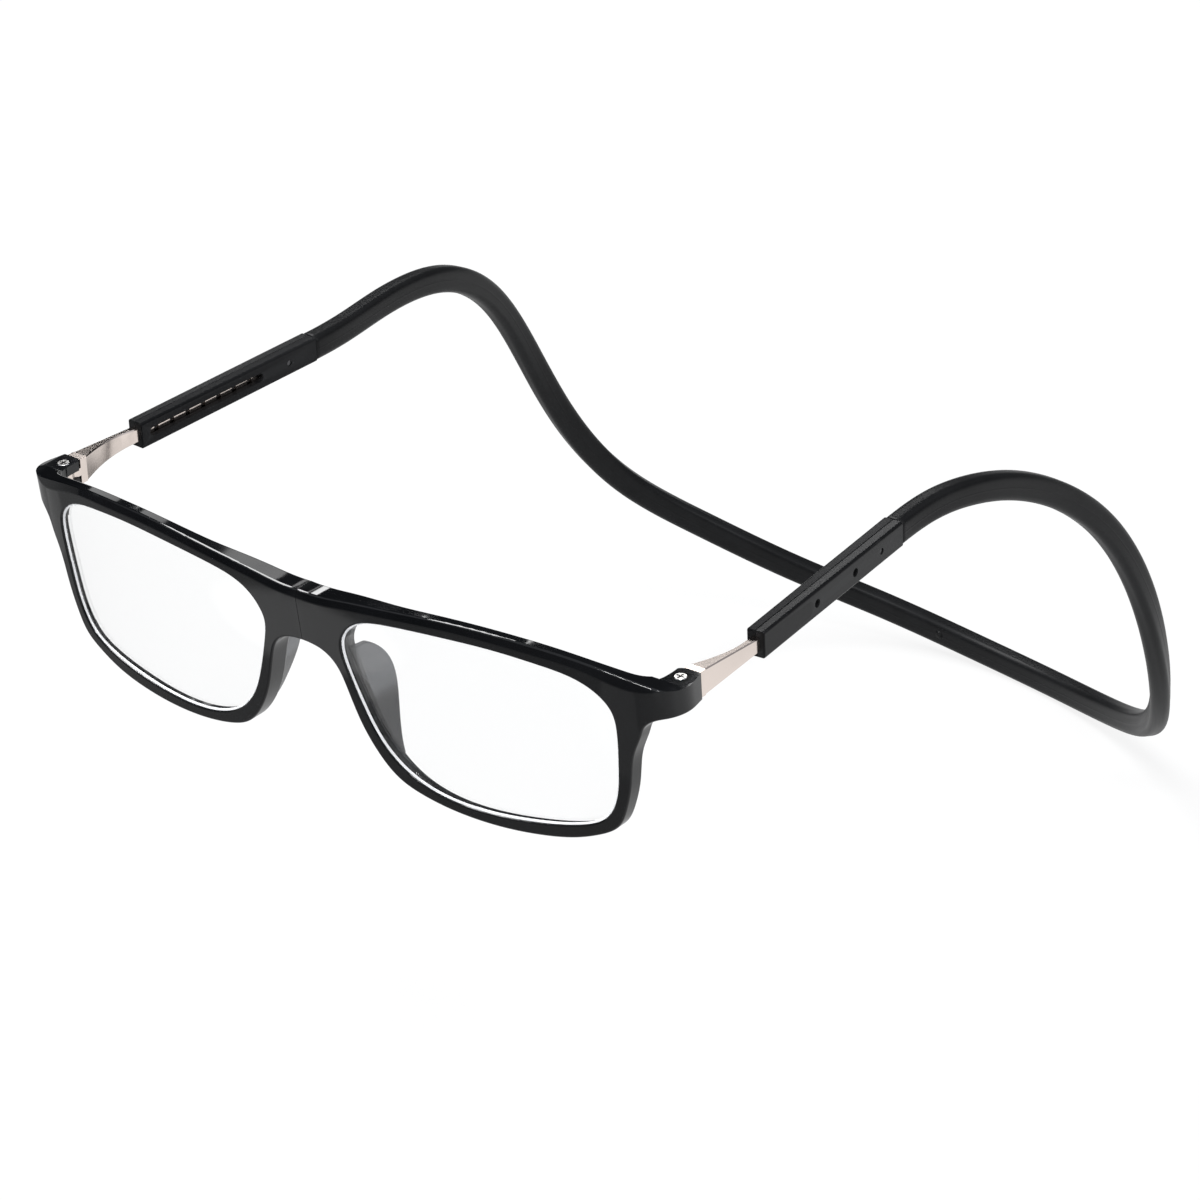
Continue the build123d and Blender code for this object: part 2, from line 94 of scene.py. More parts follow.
# How finely the band is cut up, and its narrowed end where it enters the sleeve
BAND_SPAN_STEPS = 120
RING_STEP = 1.0
CORNER_STEPS = 7
CAP_LENGTH = 0.12
CAP_SHARE = 0.93

# The moulding scar on the band's inner face: its middle, reach, flat share and height in rubber grains
GATE_PLACE = (-7.8, 205.5, -103.6)
GATE_REACH = 0.9
GATE_FLAT_SHARE = 0.5
GATE_RISE = 260

# The lens opening and the bowed front it is set in, as in the part's source
HALF_WIDTH = 70.0
FRONT_DROP = 37.0
BOW_DEPTH = 9.3
BOW_SQUARE_SHARE = 0.61
LEAN = math.tan(math.radians(7.0))
LENS_AHEAD = 0.65
OPENING_SHARES = [
    (0.129, -0.189), (0.171, -0.090), (0.286, -0.027), (0.443, -0.003), (0.600, 0.002),
    (0.714, -0.018), (0.797, -0.053), (0.849, -0.110), (0.879, -0.185), (0.888, -0.300),
    (0.882, -0.486), (0.867, -0.676), (0.830, -0.805), (0.757, -0.872), (0.640, -0.915),
    (0.486, -0.938), (0.364, -0.914), (0.272, -0.838), (0.207, -0.708), (0.161, -0.514),
    (0.131, -0.332),
]

# The lens's bevel: its section inward and ahead, and how finely it is cut up
BEVEL_SECTION = [(0.02, 0.02), (0.34, 0.02), (0.30, 0.10), (0.02, 0.34)]
BEVEL_SPAN_STEPS = 60
BEVEL_STATIONS = 240

# Looks: colours are in linear light, grains are features per metre with their detail, bumps are in metres
GRAIN_ROUGHNESS = 0.55
WORN_SPAN = (0.53, 0.62)
EVEN = (1, 1, 1)

FRAME_COLOURS = ((0.0022, 0.0025, 0.0031), (0.0036, 0.0040, 0.0048))
FRAME_WORN = (0.010, 0.0105, 0.0115)
FRAME_CLOUD = (90, 3)
FRAME_ROUGHNESS = (0.03, 0.065)
FRAME_HAIR = (500, 1)
FRAME_HAIR_STRETCH = (1, 1, 3)
FRAME_BUMP = 3e-7
FRAME_IOR = 1.46

LENS_COLOUR = (0.997, 1, 1, 1)
LENS_SMEAR = (60, 2)
LENS_ROUGHNESS = (0.0, 0.012)
LENS_IOR = 1.5
LENS_GLOSS = 0.2

# Painted light on the smoky pads: lighter from the first height up to the second, in millimetres from the top
# of the bridge; in part a painted reflection
PAD_COLOURS = ((0.035, 0.036, 0.038), (0.05, 0.051, 0.054))
PAD_PAINTED_LIGHT = (0.15, 0.155, 0.165)
PAD_PAINTED_LIGHT_START_Z = -20.5
PAD_PAINTED_LIGHT_FULL_Z = -18.5
PAD_CLOUD = (150, 3)
PAD_ROUGHNESS = (0.14, 0.24)
PAD_GRAIN = (2500, 2)
PAD_BUMP = 1e-6
PAD_TRANSMISSION = 0.6
PAD_IOR = 1.46

# Metals: name, bright and dull colour, roughness and the stretch of their lines
METAL_LINES = (1300, 1)
METAL_CLOUD = (260, 3)
METAL_CLOUD_SPAN = (0.3, 0.6)
METAL_WORN_SHARE = 1.12
METAL_ROUGHNESS_SHARES = (0.95, 1.05)
METAL_BUMP = 5e-8
LENGTHWISE = (1, 0.05, 1)
METALS = {
    "bridge_magnet": ("magnet_nickel_look", (0.78, 0.76, 0.72), (0.60, 0.58, 0.55), 0.16, LENGTHWISE),
    "hinge_screw": ("screw_steel_look", (0.72, 0.71, 0.70), (0.50, 0.49, 0.48), 0.2, EVEN),
    "temple_arm": ("arm_steel_look", (0.78, 0.69, 0.635), (0.73, 0.645, 0.595), 0.13, LENGTHWISE),
    "detent_spring": ("spring_steel_look", (0.62, 0.62, 0.61), (0.48, 0.48, 0.47), 0.2, LENGTHWISE),
    # The band pin's near-black colour is painted shade of the holes it sits in
    "band_pin": ("pin_steel_look", (0.10, 0.10, 0.105), (0.05, 0.05, 0.055), 0.35, EVEN),
}

SLEEVE_COLOURS = ((0.0058, 0.0061, 0.0067), (0.0074, 0.0078, 0.0086))
SLEEVE_WORN = (0.020, 0.0205, 0.0215)
SLEEVE_CLOUD = (240, 4)
SLEEVE_DRAG = (1100, 1)
SLEEVE_DRAG_STRETCH = (1, 0.06, 1)
SLEEVE_ROUGHNESS = (0.300, 0.315)
SLEEVE_GRAIN = (1500, 1)
SLEEVE_BUMP = 3e-7
# The inner shell's lower gloss is painted shade that keeps its side dark; the outer shell's is its own gloss
SLEEVE_GLOSS_AND_PAINTED_SHADE = {"sleeve_outer": 0.16, "sleeve_inner": 0.06}

RUBBER_COLOURS = ((0.0052, 0.0055, 0.0060), (0.0078, 0.0082, 0.0090))
RUBBER_CLOUD = (120, 4)
RUBBER_FLOW = (900, 3)
RUBBER_FLOW_STRETCH = (0.05, 1, 1)
RUBBER_ROUGHNESS = (0.34, 0.42)
RUBBER_GRAIN = (3800, 3)
RUBBER_BUMP = 2.5e-6
RUBBER_GLOSS = 0.15
RUBBER_SHEEN = 0.02
RUBBER_SHEEN_ROUGHNESS = 0.5

# The lens bevel's frosted white, which also serves as a painted highlight along the lens's edge
BEVEL_FROST_AND_PAINTED_HIGHLIGHT_COLOURS = ((0.86, 0.87, 0.88), (0.94, 0.945, 0.95))
BEVEL_CLOUD = (500, 3)
BEVEL_ROUGHNESS = (0.12, 0.3)
BEVEL_GRAIN = (6000, 2)
BEVEL_BUMP = 2e-6

# The floor: half its width, squares a side, place, white, and the share of it that glows by itself
FLOOR_REACH = 6.0
FLOOR_SQUARES = 8
FLOOR_BACK = 0.1
FLOOR_GAP = 0.0003
FLOOR_COLOUR = (0.86, 0.86, 0.86, 1)
FLOOR_ROUGHNESS = 0.9
FLOOR_GLOSS = 0.1
FLOOR_GLOW_SHARE = 0.86

# Mirrored in the pieces, the floor darkens along this way, over this stretch
FLOOR_DIM_WAY = (-0.55, -0.83, 0)
FLOOR_DIM_LEVELS = (0.84, 0.19)
FLOOR_DIM_SPAN = (-0.10, 0.06)

# Pools of light on the floor, which the polished front mirrors: middle, turn in degrees,
# half length, half width and brightness
FLOOR_POOLS = [
    ((-0.098, -0.082), -14, 0.044, 0.012, 0.80), ((0.052, -0.105), 0, 0.030, 0.024, 0.40),
    ((-0.232, 0.004), 0, 0.030, 0.030, 0.36),
]
POOL_SOFT_SHARE = 0.25

# The studio's colours by height, darker towards the panes
SKY_COLOURS = [
    (0.0, (0.10, 0.10, 0.11)), (0.18, (0.06, 0.0612, 0.0648)), (0.42, (0.35, 0.357, 0.378)),
    (0.6, (0.6, 0.612, 0.648)), (1.0, (0.62, 0.64, 0.68)),
]
SKY_DIM_LEVELS = (1, 0.1)
SKY_DIM_SPAN = (0.2, 0.55)

# Panes of light behind the scene: middle across and up, width, height and brightness
WINDOW_WAY = Vector((-0.66, 0.75, 0)).normalized()
WINDOW_REACH = 1.0
WINDOW_PANES = [
    (-0.143, 0.335, 0.043, 0.150, 1.4), (-0.054, 0.545, 0.052, 0.110, 1.8), (0.078, 0.735, 0.065, 0.090, 2.2),
    (0.225, 0.615, 0.170, 0.170, 7.0), (0.200, 0.425, 0.150, 0.090, 0.75), (-0.062, 0.440, 0.060, 0.060, 7.5),
]

# Softboxes, turned to the middle of the scene: name, place, width, height and power
SCENE_MIDDLE = (0, 0.08, -0.03)
SOFTBOXES = [
    ("softbox_upper_left", (-0.62, 0.02, 1.05), 0.85, 0.32, 14),
    ("softbox_right", (1.3, 0.2, 0.7), 0.7, 0.5, 4),
    ("strip_above", (0.37, -0.43, 1.04), 0.34, 0.09, 4.2),
]


# Shader helpers


def new_material(name):
    material = bpy.data.materials.new(name)
    material.use_nodes = True
    tree = material.node_tree
    return material, tree, tree.nodes["Principled BSDF"]


def node(tree, kind, settings=None, **inputs):
    made = tree.nodes.new(kind)
    for key, value in (settings or {}).items():
        setattr(made, key, value)
    for key, value in inputs.items():
        made.inputs[key.replace("_", " ")].default_value = value
    return made


def combined(tree, operation, first, second, clamp=False):
    """One number made of two."""
    made = node(tree, "ShaderNodeMath", {"operation": operation, "use_clamp": clamp})
    tree.links.new(first, made.inputs[0])
    tree.links.new(second, made.inputs[1])
    return made.outputs[0]


def mixed_shaders(tree, share, first, second):
    made = node(tree, "ShaderNodeMixShader")
    tree.links.new(share, made.inputs[0])
    tree.links.new(first, made.inputs[1])
    tree.links.new(second, made.inputs[2])
    return made.outputs[0]


def place_coordinates(tree, stretch=EVEN, source="Object"):
    """Coordinates fixed to the piece, in metres, stretched along its grain."""
    where = node(tree, "ShaderNodeTexCoord")
    scaled = node(tree, "ShaderNodeMapping", Scale=stretch)
    tree.links.new(where.outputs[source], scaled.inputs["Vector"])
    return scaled.outputs["Vector"]


def noise(tree, where, grain):
    scale, detail = grain
    made = node(tree, "ShaderNodeTexNoise", Scale=scale, Detail=detail, Roughness=GRAIN_ROUGHNESS)
    tree.links.new(where, made.inputs["Vector"])
    return made.outputs["Fac"]


def spread_range(tree, value, levels, span=(0.3, 0.7)):
    """Turns a span of the value into a range of levels."""
    low, high = levels
    start, end = span
    made = node(tree, "ShaderNodeMapRange", From_Min=start, From_Max=end, To_Min=low, To_Max=high)
    tree.links.new(value, made.inputs["Value"])
    return made.outputs["Result"]


def ramp_through(tree, value, marks):
    """A colour that follows the value through marks, each a place and a colour."""
    ramp = node(tree, "ShaderNodeValToRGB")
    elements = ramp.color_ramp.elements
    for mark, (place, colour) in zip(elements, (marks[0], marks[-1])):
        mark.position = place
        mark.color = (*colour, 1)
    for place, colour in marks[1:-1]:
        elements.new(place).color = (*colour, 1)
    tree.links.new(value, ramp.inputs["Fac"])
    return ramp.outputs["Color"]


def colour_between(tree, value, colours, span=(0.35, 0.65)):
    return ramp_through(tree, value, list(zip(span, colours)))


def blended(tree, share, first, second):
    """Mixes a linked colour with a plain one by a mask. The node's colour sockets follow its other kinds."""
    mixer = node(tree, "ShaderNodeMix", {"data_type": "RGBA"})
    tree.links.new(share, mixer.inputs[0])
    tree.links.new(first, mixer.inputs[6])
    mixer.inputs[7].default_value = (*second, 1)
    return mixer.outputs[2]


def worn_edges(tree):
    """A mask for edges that stand out, where a finish rubs through."""
    geometry = node(tree, "ShaderNodeNewGeometry")
    return spread_range(tree, geometry.outputs["Pointiness"], (0, 1), WORN_SPAN)


def bump(tree, shader, height, distance):
    made = node(tree, "ShaderNodeBump", Distance=distance)
    tree.links.new(height, made.inputs["Height"])
    tree.links.new(made.outputs["Normal"], shader.inputs["Normal"])


def let_lamps_through(tree, shader):
    """Clear pieces cast no dark shadow: lamp rays pass them."""
    path = node(tree, "ShaderNodeLightPath")
    clear = node(tree, "ShaderNodeBsdfTransparent")
    passed = mixed_shaders(tree, path.outputs["Is Shadow Ray"], shader.outputs[0], clear.outputs[0])
    tree.links.new(passed, tree.nodes["Material Output"].inputs["Surface"])


# Materials


def frame_gloss():
    """Polished black moulding with a film of handling marks and hair scratches."""
    material, tree, shader = new_material("frame_gloss_look")
    cloud = noise(tree, place_coordinates(tree), FRAME_CLOUD)
    base = colour_between(tree, cloud, FRAME_COLOURS)
    tree.links.new(blended(tree, worn_edges(tree), base, FRAME_WORN), shader.inputs["Base Color"])
    tree.links.new(spread_range(tree, cloud, FRAME_ROUGHNESS), shader.inputs["Roughness"])
    shader.inputs["IOR"].default_value = FRAME_IOR
    hair = noise(tree, place_coordinates(tree, FRAME_HAIR_STRETCH), FRAME_HAIR)
    bump(tree, shader, hair, FRAME_BUMP)
    return material


def clear_lens():
    """Clear, coated lens with a faint smear."""
    material, tree, shader = new_material("lens_clear_look")
    smear = noise(tree, place_coordinates(tree), LENS_SMEAR)
    tree.links.new(spread_range(tree, smear, LENS_ROUGHNESS), shader.inputs["Roughness"])
    shader.inputs["Base Color"].default_value = LENS_COLOUR
    shader.inputs["Transmission Weight"].default_value = 1.0
    shader.inputs["IOR"].default_value = LENS_IOR
    shader.inputs["Specular IOR Level"].default_value = LENS_GLOSS
    let_lamps_through(tree, shader)
    return material


def clear_pad():
    """Smoky clear plastic with a satin skin, and painted light that makes its upper part lighter."""
    material, tree, shader = new_material("pad_clear_look")
    where = place_coordinates(tree)
    cloud = noise(tree, where, PAD_CLOUD)
    parts = node(tree, "ShaderNodeSeparateXYZ")
    tree.links.new(where, parts.inputs[0])
    # Painted light: above a height the pad's colour turns lighter, in part a painted reflection
    height = spread_range(tree, parts.outputs["Z"], (0, 1), (PAD_PAINTED_LIGHT_START_Z * MM, PAD_PAINTED_LIGHT_FULL_Z * MM))
    deep = colour_between(tree, cloud, PAD_COLOURS)
    tree.links.new(blended(tree, height, deep, PAD_PAINTED_LIGHT), shader.inputs["Base Color"])
    tree.links.new(spread_range(tree, cloud, PAD_ROUGHNESS), shader.inputs["Roughness"])
    shader.inputs["Transmission Weight"].default_value = PAD_TRANSMISSION
    shader.inputs["IOR"].default_value = PAD_IOR
    bump(tree, shader, noise(tree, where, PAD_GRAIN), PAD_BUMP)
    let_lamps_through(tree, shader)
    return material


def metal(name, bright, dull, roughness, stretch):
    """Metal with fine lines along its length and duller, darker patches."""
    material, tree, shader = new_material(name)
    lines = noise(tree, place_coordinates(tree, stretch), METAL_LINES)
    cloud = noise(tree, place_coordinates(tree), METAL_CLOUD)
    base = colour_between(tree, cloud, (dull, bright), METAL_CLOUD_SPAN)
    worn = [min(1.0, level * METAL_WORN_SHARE) for level in bright]
    tree.links.new(blended(tree, worn_edges(tree), base, worn), shader.inputs["Base Color"])
    shader.inputs["Metallic"].default_value = 1.0
    levels = [roughness * share for share in METAL_ROUGHNESS_SHARES]
    tree.links.new(spread_range(tree, lines, levels), shader.inputs["Roughness"])
    bump(tree, shader, lines, METAL_BUMP)
    return material


def sleeve_plastic(name, gloss_and_painted_shade):
    """Satin black moulding with a fine spark-eroded grain and faint lengthwise drag lines."""
    material, tree, shader = new_material(name)
    where = place_coordinates(tree)
    drag = noise(tree, place_coordinates(tree, SLEEVE_DRAG_STRETCH), SLEEVE_DRAG)
    base = colour_between(tree, noise(tree, where, SLEEVE_CLOUD), SLEEVE_COLOURS)
    tree.links.new(blended(tree, worn_edges(tree), base, SLEEVE_WORN), shader.inputs["Base Color"])
    tree.links.new(spread_range(tree, drag, SLEEVE_ROUGHNESS), shader.inputs["Roughness"])
    shader.inputs["Specular IOR Level"].default_value = gloss_and_painted_shade
    bump(tree, shader, noise(tree, where, SLEEVE_GRAIN), SLEEVE_BUMP)
    return material


def band_rubber():
    """Soft black rubber: matt, with a dusty bloom and faint lengthwise flow marks."""
    material, tree, shader = new_material("band_rubber_look")
    where = place_coordinates(tree, source="UV")
    flow = noise(tree, place_coordinates(tree, RUBBER_FLOW_STRETCH, "UV"), RUBBER_FLOW)
    base = colour_between(tree, noise(tree, where, RUBBER_CLOUD), RUBBER_COLOURS)
    tree.links.new(base, shader.inputs["Base Color"])
    tree.links.new(spread_range(tree, flow, RUBBER_ROUGHNESS), shader.inputs["Roughness"])
    shader.inputs["Specular IOR Level"].default_value = RUBBER_GLOSS
    shader.inputs["Sheen Weight"].default_value = RUBBER_SHEEN
    shader.inputs["Sheen Roughness"].default_value = RUBBER_SHEEN_ROUGHNESS
    height = combined(tree, "ADD", noise(tree, where, RUBBER_GRAIN), gate_mark(tree))
    bump(tree, shader, height, RUBBER_BUMP)
    return material


def gate_mark(tree):
    """The small raised scar where the rubber was let into its mould."""
    away = node(tree, "ShaderNodeVectorMath", {"operation": "DISTANCE"})
    away.inputs[1].default_value = Vector(GATE_PLACE) * MM
    tree.links.new(place_coordinates(tree), away.inputs[0])
    reach = GATE_REACH * MM
    return spread_range(tree, away.outputs["Value"], (GATE_RISE, 0), (GATE_FLAT_SHARE * reach, reach))


def lens_edge_frost_and_painted_highlight_look():
    """The ground, frosted bevel of the lens: a thin white line inside the rim, whose diffuse white is also a
    painted highlight along the lens's edge.
    """
    material, tree, shader = new_material("lens_edge_frost_and_painted_highlight_look")
    where = place_coordinates(tree)
    cloud = noise(tree, where, BEVEL_CLOUD)
    tree.links.new(colour_between(tree, cloud, BEVEL_FROST_AND_PAINTED_HIGHLIGHT_COLOURS), shader.inputs["Base Color"])
    tree.links.new(spread_range(tree, cloud, BEVEL_ROUGHNESS), shader.inputs["Roughness"])
    bump(tree, shader, noise(tree, where, BEVEL_GRAIN), BEVEL_BUMP)
    return material


# Smooth lines


def smooth_span(first, second, first_slope, second_slope, length, steps):
    """Places from the first point up to, and without, the second."""
    t = np.linspace(0, 1, steps, endpoint=False)[:, None]
    places = first * (2 * t**3 - 3 * t**2 + 1) + second * (3 * t**2 - 2 * t**3)
    turns = first_slope * (t**3 - 2 * t**2 + t) + second_slope * (t**3 - t**2)
    return places + length * turns


def run_along(line):
    return np.concatenate([[0], np.cumsum(np.linalg.norm(np.diff(line, axis=0), axis=1))])


def point_at(line, run, at):
    return [float(np.interp(at, run, line[:, k])) for k in range(line.shape[1])]


def balance_slope(weights, sums, i, points, spans):
    """The equation that makes the curve bend evenly through one of its points."""
    last, following = i - 1, (i + 1) % len(points)
    before, after = spans[last], spans[i]
    weights[i, last] = 1 / before
    weights[i, i] = 2 / before + 2 / after
    weights[i, following] = 1 / after
    rise_before = (points[i] - points[last]) / before**2
    rise_after = (points[following] - points[i]) / after**2
    sums[i] = 3 * rise_before + 3 * rise_after


def open_curve(points, first, last):
    """The smooth curve through the points, with its end directions given, and the run along it."""
    spans = np.linalg.norm(np.diff(points, axis=0), axis=1)
    count = len(points)
    weights = np.zeros((count, count))
    sums = np.zeros(points.shape)
    weights[0, 0] = weights[-1, -1] = 1
    sums[0] = first
    sums[-1] = last
    for i in range(1, count - 1):
        balance_slope(weights, sums, i, points, spans)
    slopes = np.linalg.solve(weights, sums)
    fine = []
    for i, span in enumerate(spans):
        fine.append(smooth_span(points[i], points[i + 1], slopes[i], slopes[i + 1], span, BAND_SPAN_STEPS))
    fine = np.concatenate(fine + [points[-1:]])
    return fine, run_along(fine)


def closed_curve(points, count):
    """Even stations on the closed smooth curve through the points."""
    total = len(points)
    spans = np.linalg.norm(np.roll(points, -1, axis=0) - points, axis=1)
    weights = np.zeros((total, total))
    sums = np.zeros(points.shape)
    for i in range(total):
        balance_slope(weights, sums, i, points, spans)
    slopes = np.linalg.solve(weights, sums)
    fine = []
    for i, span in enumerate(spans):
        j = (i + 1) % total
        fine.append(smooth_span(points[i], points[j], slopes[i], slopes[j], span, BEVEL_SPAN_STEPS))
    fine = np.concatenate(fine + [fine[0][:1]])
    run = run_along(fine)
    stations = np.linspace(0, run[-1], count, endpoint=False)
    return np.array([point_at(fine, run, at) for at in stations])


def add_mesh(name, bm):
    """Makes the drawn faces an object of the scene."""
    mesh = bpy.data.meshes.new(name)
    bm.to_mesh(mesh)
    bm.free()
    piece = bpy.data.objects.new(name, mesh)
    bpy.context.scene.collection.objects.link(piece)
    return piece


# Neck band


def band_points():
    """The places that the band's middle line passes through, in millimetres."""
    toe = math.radians(SLEEVE_TOE_IN)
    axis = Vector((-math.sin(toe), math.cos(toe), math.tan(math.radians(SLEEVE_LIFT)))).normalized()
    half_width = SLEEVE_TAIL.x + BAND_FLARE
    left = []
    right = []
    for (across, back), down_left, down_right in zip(BAND_PLAN_SHARES, BAND_LEFT_SHARES, BAND_RIGHT_SHARES):
        x = across * half_width
        y = SLEEVE_TAIL.y + back * BAND_REACH
        left.append((x, y, SLEEVE_TAIL.z - down_left * BAND_DROP))
        right.append((-x, y, SLEEVE_TAIL.z - down_right * BAND_DROP))
    middle = (0, SLEEVE_TAIL.y + BAND_REACH, SLEEVE_TAIL.z - BAND_MIDDLE_SHARE * BAND_DROP)
    start = SLEEVE_TAIL + axis * BAND_SEAT_GAP
    end = (-start.x, start.y, start.z)
    points = [tuple(start)] + left + [middle] + right[::-1] + [end]
    return np.array(points), np.array(axis), np.array((axis.x, -axis.y, -axis.z))


def section_outline():
    """Across and up offsets round the band's section, with a fine parting line on both wide faces."""
    wide = BAND_THICK / 2
    tall = BAND_HEIGHT / 2
    flat_wide = wide - BAND_ROUND
    flat_tall = tall - BAND_ROUND
    upper = [(wide + LINE_RISE, 0), (wide, LINE_HALF), (wide, 2 * LINE_HALF), (wide, flat_tall / 2)]
    for i in range(CORNER_STEPS + 1):
        turn = math.pi / 2 * i / CORNER_STEPS
        upper.append((flat_wide + BAND_ROUND * math.cos(turn), flat_tall + BAND_ROUND * math.sin(turn)))
    upper.append((flat_wide / 2, tall))
    over = upper + [(-x, z) for x, z in upper[::-1]]
    under = [(-x, -z) for x, z in over[1:-1]]
    return over + under


def band_ring(line, run, place, outline, size):
    """The section's points square to the line at one place."""
    middle = Vector(point_at(line, run, place))
    reach = RING_STEP / 2
    ahead = Vector(point_at(line, run, place + reach))
    behind = Vector(point_at(line, run, place - reach))
    along = (ahead - behind).normalized()
    across = along.cross(Vector((0, 0, 1))).normalized()
    up = across.cross(along)
    return [(middle + across * x * size + up * z * size) * MM for x, z in outline]


def build_band(name, line, run, end):
    """One half of the band, from its sleeve to the end given, as a single skin."""
    count = round(end / RING_STEP)
    places = [0, CAP_LENGTH] + [end * i / count for i in range(1, count + 1)]
    outline = section_outline()
    bm = bmesh.new()
    skin = bm.loops.layers.uv.new("UVMap")
    around = [0.0]
    for (x0, z0), (x1, z1) in zip(outline, outline[1:] + outline[:1]):
        around.append(around[-1] + math.hypot(x1 - x0, z1 - z0))
    rings = []
    for index, place in enumerate(places):
        size = CAP_SHARE if index == 0 else 1.0
        rings.append([bm.verts.new(point) for point in band_ring(line, run, place, outline, size)])
    total = len(outline)
    for i in range(len(rings) - 1):
        for j in range(total):
            k = (j + 1) % total
            face = bm.faces.new((rings[i][j], rings[i][k], rings[i + 1][k], rings[i + 1][j]))
            face.smooth = True
            marks = ((i, j), (i, j + 1), (i + 1, j + 1), (i + 1, j))
            for loop, (ring, turn) in zip(face.loops, marks):
                loop[skin].uv = (places[ring] * MM, around[turn] * MM)
    bm.faces.new(rings[0][::-1])
    bmesh.ops.recalc_face_normals(bm, faces=bm.faces)
    return add_mesh(name, bm)


def build_neck_band():
    """Both halves of the band, each run from its own sleeve to the middle of the neck."""
    line, run = open_curve(*band_points())
    whole = run[-1]
    middle = run[np.argmin(np.abs(line[:, 0]))]
    look = band_rubber()
    halves = (("left", line, run, middle), ("right", line[::-1], whole - run[::-1], whole - middle))
    for side, its_line, its_run, end in halves:
        piece = build_band("neck_band_" + side, its_line, its_run, end)
        piece.data.materials.append(look)
        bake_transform(piece)
        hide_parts("band_side_" + side, "band_bend_" + side)
        if side == "left":
            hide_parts("band_back")


# Lens edges


def front_face_y(x, z):
    """How far back the bowed, leaning front face lies."""
    share = x / HALF_WIDTH
    bow = BOW_DEPTH * (BOW_SQUARE_SHARE * share**2 + (1 - BOW_SQUARE_SHARE) * share**4)
    return bow - LEAN * z


def build_bevel(name, sign):
    """The lens's bevel round its front edge, where it leaves the rim's groove."""
    outline = np.array(OPENING_SHARES) * (HALF_WIDTH, FRONT_DROP)
    curve = closed_curve(outline, BEVEL_STATIONS)
    middle = curve.mean(axis=0)
    bm = bmesh.new()
    rings = []
    for i, (x, z) in enumerate(curve):
        ahead = curve[(i + 1) % BEVEL_STATIONS] - curve[i - 1]
        inward = np.array((-ahead[1], ahead[0])) / np.linalg.norm(ahead)
        if inward @ (middle - (x, z)) < 0:
            inward = -inward
        ring = []
        for inward_by, ahead_by in BEVEL_SECTION:
            px, pz = (x, z) + inward * inward_by
            py = front_face_y(px, pz) + LENS_AHEAD - ahead_by
            ring.append(bm.verts.new((sign * px * MM, py * MM, pz * MM)))
        rings.append(ring)
    sides = len(BEVEL_SECTION)
    for i in range(BEVEL_STATIONS):
        j = (i + 1) % BEVEL_STATIONS
        for k in range(sides):
            m = (k + 1) % sides
            bm.faces.new((rings[i][k], rings[i][m], rings[j][m], rings[j][k]))
    bmesh.ops.recalc_face_normals(bm, faces=bm.faces)
    return add_mesh(name, bm)


def build_lens_edges():
    look = lens_edge_frost_and_painted_highlight_look()
    for side, sign in (("left", 1), ("right", -1)):
        bevel = build_bevel("lens_bevel_" + side, sign)
        bevel.data.materials.append(look)
        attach(bevel, "front_" + side)


# Stage


def floor_mirror_level(tree, height):
    """How bright the floor is where the pieces mirror it: dim, with pools of light."""
    where = node(tree, "ShaderNodeNewGeometry").outputs["Position"]
    away = node(tree, "ShaderNodeVectorMath", {"operation": "DOT_PRODUCT"})
    away.inputs[1].default_value = FLOOR_DIM_WAY
    tree.links.new(where, away.inputs[0])
    level = spread_range(tree, away.outputs["Value"], FLOOR_DIM_LEVELS, FLOOR_DIM_SPAN)
    for middle, turn, half_length, half_width, brightness in FLOOR_POOLS:
        inside = node(tree, "ShaderNodeMapping", {"vector_type": "TEXTURE"})
        inside.inputs["Location"].default_value = (*middle, height)
        inside.inputs["Rotation"].default_value = (0, 0, math.radians(turn))
        inside.inputs["Scale"].default_value = (half_length, half_width, 1)
        tree.links.new(where, inside.inputs["Vector"])
        reach = node(tree, "ShaderNodeVectorMath", {"operation": "LENGTH"})
        tree.links.new(inside.outputs["Vector"], reach.inputs[0])
        pool = spread_range(tree, reach.outputs["Value"], (brightness, 0), (1 - POOL_SOFT_SHARE, 1))
        level = combined(tree, "MAXIMUM", level, pool)
    return level


def floor_look(height):
    """White to the camera and through clear pieces, and it still takes the part's shadow."""
    material, tree, shader = new_material("floor_white")
    shader.inputs["Base Color"].default_value = FLOOR_COLOUR
    shader.inputs["Roughness"].default_value = FLOOR_ROUGHNESS
    shader.inputs["Specular IOR Level"].default_value = FLOOR_GLOSS
    path = node(tree, "ShaderNodeLightPath").outputs
    mirrored = combined(tree, "SUBTRACT", path["Is Glossy Ray"], path["Is Transmission Ray"], clamp=True)
    dimmer = node(tree, "ShaderNodeMix", {"data_type": "FLOAT"})
    dimmer.inputs[2].default_value = 1.0
    tree.links.new(mirrored, dimmer.inputs[0])
    tree.links.new(floor_mirror_level(tree, height), dimmer.inputs[3])
    glow = node(tree, "ShaderNodeEmission")
    tree.links.new(dimmer.outputs[0], glow.inputs["Strength"])
    clear_or_camera = combined(tree, "MAXIMUM", path["Is Camera Ray"], path["Is Transmission Ray"])
    seen = combined(tree, "MAXIMUM", clear_or_camera, path["Is Glossy Ray"])
    share = node(tree, "ShaderNodeMath", {"operation": "MULTIPLY"})
    share.inputs[1].default_value = FLOOR_GLOW_SHARE
    tree.links.new(seen, share.inputs[0])
    surface = mixed_shaders(tree, share.outputs[0], shader.outputs[0], glow.outputs[0])
    tree.links.new(surface, tree.nodes["Material Output"].inputs["Surface"])
    return material


def build_floor():
    low, high = cad_box
    bm = bmesh.new()
    bmesh.ops.create_grid(bm, x_segments=FLOOR_SQUARES, y_segments=FLOOR_SQUARES, size=FLOOR_REACH)
    floor = add_mesh("floor", bm)
    floor.location = (0, FLOOR_BACK, low[2] - FLOOR_GAP)
    floor.data.materials.append(floor_look(floor.location.z))


